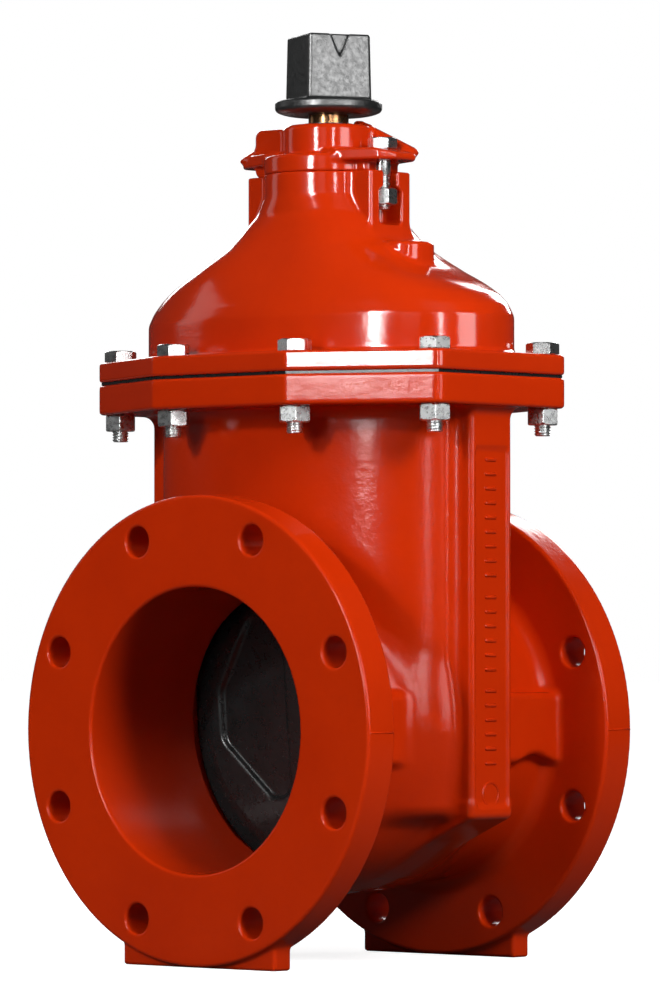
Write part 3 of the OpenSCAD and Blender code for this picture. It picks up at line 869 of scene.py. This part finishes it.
def red_paint(name, peel, rough, shine):
    """Epoxy over sand-cast iron. peel is how coarse the casting shows through."""
    look = Look(name, IOR=1.5, Specular_IOR_Level=shine)
    patches = look.noise(11, 4, 0.6)
    base = look.colours(patches, [(0.3, (0.54, 0.025, 0.001)), (0.7, (0.60, 0.030, 0.0012))])
    drops = look.noise(160, 2)
    base = look.tint(base, look.spread(drops, 0.55, 0.8), (0.46, 0.019, 0.001), 0.12)
    look.colour(base)
    look.roughness(look.spread(look.noise(70, 4, 0.6), 0.3, 0.75, rough, rough * 1.7))
    look.bumps((look.noise(26, 3), 0.2 * peel, 1.6), (look.noise(240, 3, 0.6), 0.3 * peel, 0.3),
               (look.noise(900, 2), 0.2 * peel, 0.08))
    return look.material


def zinc(name, rosy):
    """Plated steel; the rosy one is the darker, red tinted thread."""
    look = Look(name, Metallic=1.0)
    clouds = look.noise(220, 4, 0.6)
    bright = (0.80, 0.81, 0.81)
    dull = (0.70, 0.71, 0.71)
    if rosy:
        bright, dull = (0.34, 0.13, 0.11), (0.22, 0.08, 0.07)
    look.colour(look.colours(clouds, [(0.3, dull), (0.7, bright)]))
    look.roughness(look.spread(look.noise(300, 3), 0.3, 0.7, 0.24, 0.33))
    look.bumps((look.noise(420, 3), 0.05, 0.02), (look.noise(60, 2), 0.05, 0.1))
    return look.material


def black_iron():
    """Black enamel over a coarse casting."""
    look = Look("black_iron", IOR=2.1)
    patches = look.noise(140, 4, 0.6)
    look.colour(look.colours(patches, [(0.3, (0.004, 0.005, 0.005)), (0.75, (0.010, 0.011, 0.011))]))
    look.roughness(look.spread(look.noise(300, 3), 0.3, 0.7, 0.3, 0.48))
    look.bumps((look.noise(90, 3), 0.3, 0.7), (look.noise(620, 4, 0.65), 0.45, 0.25))
    return look.material


def rubber():
    """Black rubber with a grey haze."""
    look = Look("black_rubber", IOR=1.5)
    haze = look.noise(60, 4, 0.6)
    look.colour(look.colours(haze, [(0.3, (0.010, 0.012, 0.012)), (0.75, (0.016, 0.019, 0.020))]))
    look.roughness(look.spread(look.noise(180, 4, 0.7), 0.3, 0.7, 0.24, 0.34))
    look.bumps((look.noise(40, 2), 0.1, 0.6), (look.noise(1100, 2), 0.15, 0.05))
    return look.material


def bronze():
    """Turned bronze: fine rings across the shaft."""
    look = Look("bronze", Metallic=1.0)
    rings = look.noise(60, 3, 0.5, (1, 1, 40))
    look.colour(look.colours(rings, [(0.3, (0.26, 0.13, 0.06)), (0.7, (0.42, 0.22, 0.10))]))
    look.roughness(look.spread(look.noise(120, 3), 0.3, 0.7, 0.18, 0.32))
    look.bumps((rings, 0.3, 0.1))
    return look.material


def nylon():
    """Cream nylon of the guide shoes."""
    look = Look("nylon", IOR=1.53, Subsurface_Weight=0.1)
    look.colour(look.colours(look.noise(50, 3), [(0.3, (0.66, 0.62, 0.52)), (0.7, (0.74, 0.71, 0.62))]))
    look.roughness(look.spread(look.noise(300, 2), 0.3, 0.7, 0.42, 0.6))
    look.bumps((look.noise(400, 2), 0.2, 0.1))
    return look.material


def dress(piece, *looks):
    """Gives a piece these materials and no others."""
    piece.data.materials.clear()
    for look in looks:
        piece.data.materials.append(look)


# ---------------------------------------------------------------- the pieces

PAINT_BODY = red_paint("red_paint", 1.5, 0.13, 0.2)
PAINT_SMOOTH = red_paint("red_paint_smooth", 0.7, 0.09, 0.5)
ZINC = zinc("zinc_steel", False)
ZINC_ROSY = zinc("zinc_steel_rosy", True)
IRON = black_iron()
RUBBER = rubber()
BRONZE = bronze()
NYLON = nylon()


def place(piece, body, slot, looks, *nodes):
    """Gives a piece its looks and its body, and hides the CAD nodes it stands for. The slot argument is
    not used.
    """
    dress(piece, *looks)
    if nodes:
        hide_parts(*nodes)
    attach(piece, body)


place(body_piece(), "valve_body", "red_paint", [PAINT_BODY], "body")
place(bonnet_piece(), "valve_body", "red_paint", [PAINT_SMOOTH], "bonnet")
place(seal_plate_piece(), "valve_body", "red_paint", [PAINT_SMOOTH], "seal_plate")
place(rib_marks(), "valve_body", "red_paint", [PAINT_BODY])
place(parting_ticks(), "valve_body", "red_paint", [PAINT_BODY])
joint_bolts, joint_nuts = bonnet_fasteners()
place(joint_bolts, "valve_body", "zinc_steel", [ZINC, ZINC_ROSY], "bonnet_bolts")
place(joint_nuts, "valve_body", "zinc_steel", [ZINC], "bonnet_nuts")
seal_bolts, seal_nuts = seal_plate_fasteners()
place(seal_bolts, "valve_body", "zinc_steel", [ZINC], "seal_plate_bolts")
place(seal_nuts, "valve_body", "zinc_steel", [ZINC], "seal_plate_nuts")
place(operating_nut_piece(), "stem_assembly", "black_iron", [IRON], "operating_nut")
place(nut_screw_piece(), "stem_assembly", "zinc_steel", [ZINC], "nut_screw")
place(stem_piece(), "stem_assembly", "bronze", [BRONZE], "stem")
place(wedge_piece(), "wedge", "black_rubber", [RUBBER], "wedge_rubber")

# CAD nodes whose shape is right keep it, with their edges softened
KEPT = {"bonnet_gasket": (RUBBER, 0.3), "seal_plate_o_ring": (RUBBER, 0), "wiper_ring": (RUBBER, 0.3),
        "stem_o_ring_upper": (RUBBER, 0), "stem_o_ring_lower": (RUBBER, 0), "stem_bushing": (BRONZE, 0.2),
        "thrust_washer_upper": (BRONZE, 0.2), "thrust_washer_lower": (BRONZE, 0.2),
        "nut_washer": (ZINC, 0.2), "stem_nut": (BRONZE, 0.3), "wedge_core": (IRON, 0.5),
        "wedge_shoe_left": (NYLON, 0.6), "wedge_shoe_right": (NYLON, 0.6)}
for node, (look, width) in KEPT.items():
    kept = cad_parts[node]
    dress(kept, look)
    if width:
        soften(kept, width)


# ---------------------------------------------------------------- studio

def floor():
    """A pale sweep. It looks white, but throws little light back up under the valve."""
    mesh = bpy.data.meshes.new("floor")
    half = 30
    corners = [(-half, -half, 0), (half, -half, 0), (half, half, 0), (-half, half, 0)]
    mesh.from_pydata(corners, [], [(0, 1, 2, 3)])
    made = bpy.data.objects.new("floor", mesh)
    bpy.context.scene.collection.objects.link(made)
    look = bpy.data.materials.new("floor")
    look.use_nodes = True
    tree = look.node_tree
    tree.nodes.clear()
    out = tree.nodes.new("ShaderNodeOutputMaterial")
    seen = tree.nodes.new("ShaderNodeAddShader")
    paper = tree.nodes.new("ShaderNodeBsdfDiffuse")
    paper.inputs["Color"].default_value = (0.6, 0.6, 0.6, 1)
    glow = tree.nodes.new("ShaderNodeEmission")
    where = tree.nodes.new("ShaderNodeTexCoord")
    length = tree.nodes.new("ShaderNodeVectorMath")
    length.operation = "LENGTH"
    fade = tree.nodes.new("ShaderNodeMapRange")
    set_range(fade, 0.2, 1.6, 0.8, 1.0)
    tree.links.new(where.outputs["Object"], length.inputs[0])
    tree.links.new(length.outputs["Value"], fade.inputs["Value"])
    tree.links.new(fade.outputs["Result"], glow.inputs["Strength"])
    dark = tree.nodes.new("ShaderNodeBsdfDiffuse")
    dark.inputs["Color"].default_value = (0.10, 0.10, 0.10, 1)
    path = tree.nodes.new("ShaderNodeLightPath")
    mix = tree.nodes.new("ShaderNodeMixShader")
    tree.links.new(paper.outputs[0], seen.inputs[0])
    tree.links.new(glow.outputs[0], seen.inputs[1])
    tree.links.new(path.outputs["Is Camera Ray"], mix.inputs["Fac"])
    tree.links.new(dark.outputs[0], mix.inputs[1])
    tree.links.new(seen.outputs[0], mix.inputs[2])
    tree.links.new(mix.outputs[0], out.inputs["Surface"])
    made.data.materials.append(look)


def softbox(name, bearing, height, away, width, tall, level, mirrored=False, lights=True):
    """Area light facing the valve from a bearing counted from -Y to +X.

    Mirrored lights show as highlights. With lights=False that is all they do.
    """
    light = bpy.data.lights.new(name, "AREA")
    light.shape = "RECTANGLE"
    light.size = width
    light.size_y = tall
    light.energy = level * math.pi * width * tall
    made = bpy.data.objects.new(name, light)
    turn = math.radians(bearing)
    made.location = (away * math.sin(turn), -away * math.cos(turn), height)
    aim = Vector((0, 0, min(height, 0.45))) - made.location
    made.rotation_euler = aim.to_track_quat("-Z", "Y").to_euler()
    made.visible_camera = False
    made.visible_glossy = mirrored
    made.visible_diffuse = lights
    bpy.context.scene.collection.objects.link(made)


def studio():
    """Lights and world: white to the camera, a dim sky for light, nearly black in reflections."""
    world = bpy.data.worlds.new("studio")
    bpy.context.scene.world = world
    world.use_nodes = True
    tree = world.node_tree
    tree.nodes.clear()
    out = tree.nodes.new("ShaderNodeOutputWorld")
    towards = tree.nodes.new("ShaderNodeTexCoord")
    split = tree.nodes.new("ShaderNodeSeparateXYZ")
    tree.links.new(towards.outputs["Generated"], split.inputs[0])
    sky = tree.nodes.new("ShaderNodeMapRange")
    set_range(sky, -0.2, 0.9, 0.01, 0.10)
    tree.links.new(split.outputs["Z"], sky.inputs["Value"])
    shades = []
    for strength in (None, 0.03, 1.0):
        node = tree.nodes.new("ShaderNodeBackground")
        node.inputs["Color"].default_value = (1, 1, 1, 1)
        if strength is None:
            tree.links.new(sky.outputs["Result"], node.inputs["Strength"])
        else:
            node.inputs["Strength"].default_value = strength
        shades.append(node)
    path = tree.nodes.new("ShaderNodeLightPath")
    gloss = tree.nodes.new("ShaderNodeMixShader")
    seen = tree.nodes.new("ShaderNodeMixShader")
    tree.links.new(path.outputs["Is Glossy Ray"], gloss.inputs["Fac"])
    tree.links.new(shades[0].outputs[0], gloss.inputs[1])
    tree.links.new(shades[1].outputs[0], gloss.inputs[2])
    tree.links.new(path.outputs["Is Camera Ray"], seen.inputs["Fac"])
    tree.links.new(gloss.outputs[0], seen.inputs[1])
    tree.links.new(shades[2].outputs[0], seen.inputs[2])
    tree.links.new(seen.outputs[0], out.inputs["Surface"])
    softbox("key", 2, 1.5, 2.55, 0.22, 0.22, 150)
    softbox("front_low", 5, 0.94, 2.55, 0.9, 0.9, 5.5)
    softbox("side_soft", 80, 1.45, 2.3, 0.7, 0.7, 30)
    softbox("side_high", 60, 2.33, 1.75, 0.8, 0.8, 5)
    softbox("far_side", 120, 0.94, 2.55, 0.9, 0.9, 2)
    softbox("back_soft", 200, 1.5, 2.6, 0.9, 0.9, 9, True)
    softbox("back_side", -125, 1.5, 2.6, 0.9, 0.9, 6, True)
    softbox("strip_main", 10.5, 1.23, 2.6, 0.34, 1.45, 44, True, False)
    softbox("strip_thin", 54, 1.2, 3.0, 0.10, 1.6, 40, True, False)
    softbox("side_box", 84, 1.0, 2.6, 1.1, 1.4, 7, True, False)
    softbox("fill_front", 30, 1.3, 3.2, 0.7, 1.4, 0.6, True, False)
    softbox("left_box", -70, 1.4, 3.0, 0.8, 1.6, 0.8, True, False)


def camera():
    """Long lens, low down, at the viewing angle of the photograph."""
    data = bpy.data.cameras.new("camera")
    data.lens = 213
    data.sensor_width = 36
    made = bpy.data.objects.new("camera", data)
    made.location = (2.9675, -3.2562, 0.2294)
    aim = Vector((0.0008, 0.0007, 0.3424)) - made.location
    made.rotation_euler = aim.to_track_quat("-Z", "Y").to_euler()
    bpy.context.scene.collection.objects.link(made)
    bpy.context.scene.camera = made


floor()
studio()
camera()
bpy.context.scene.view_settings.view_transform = "Standard"
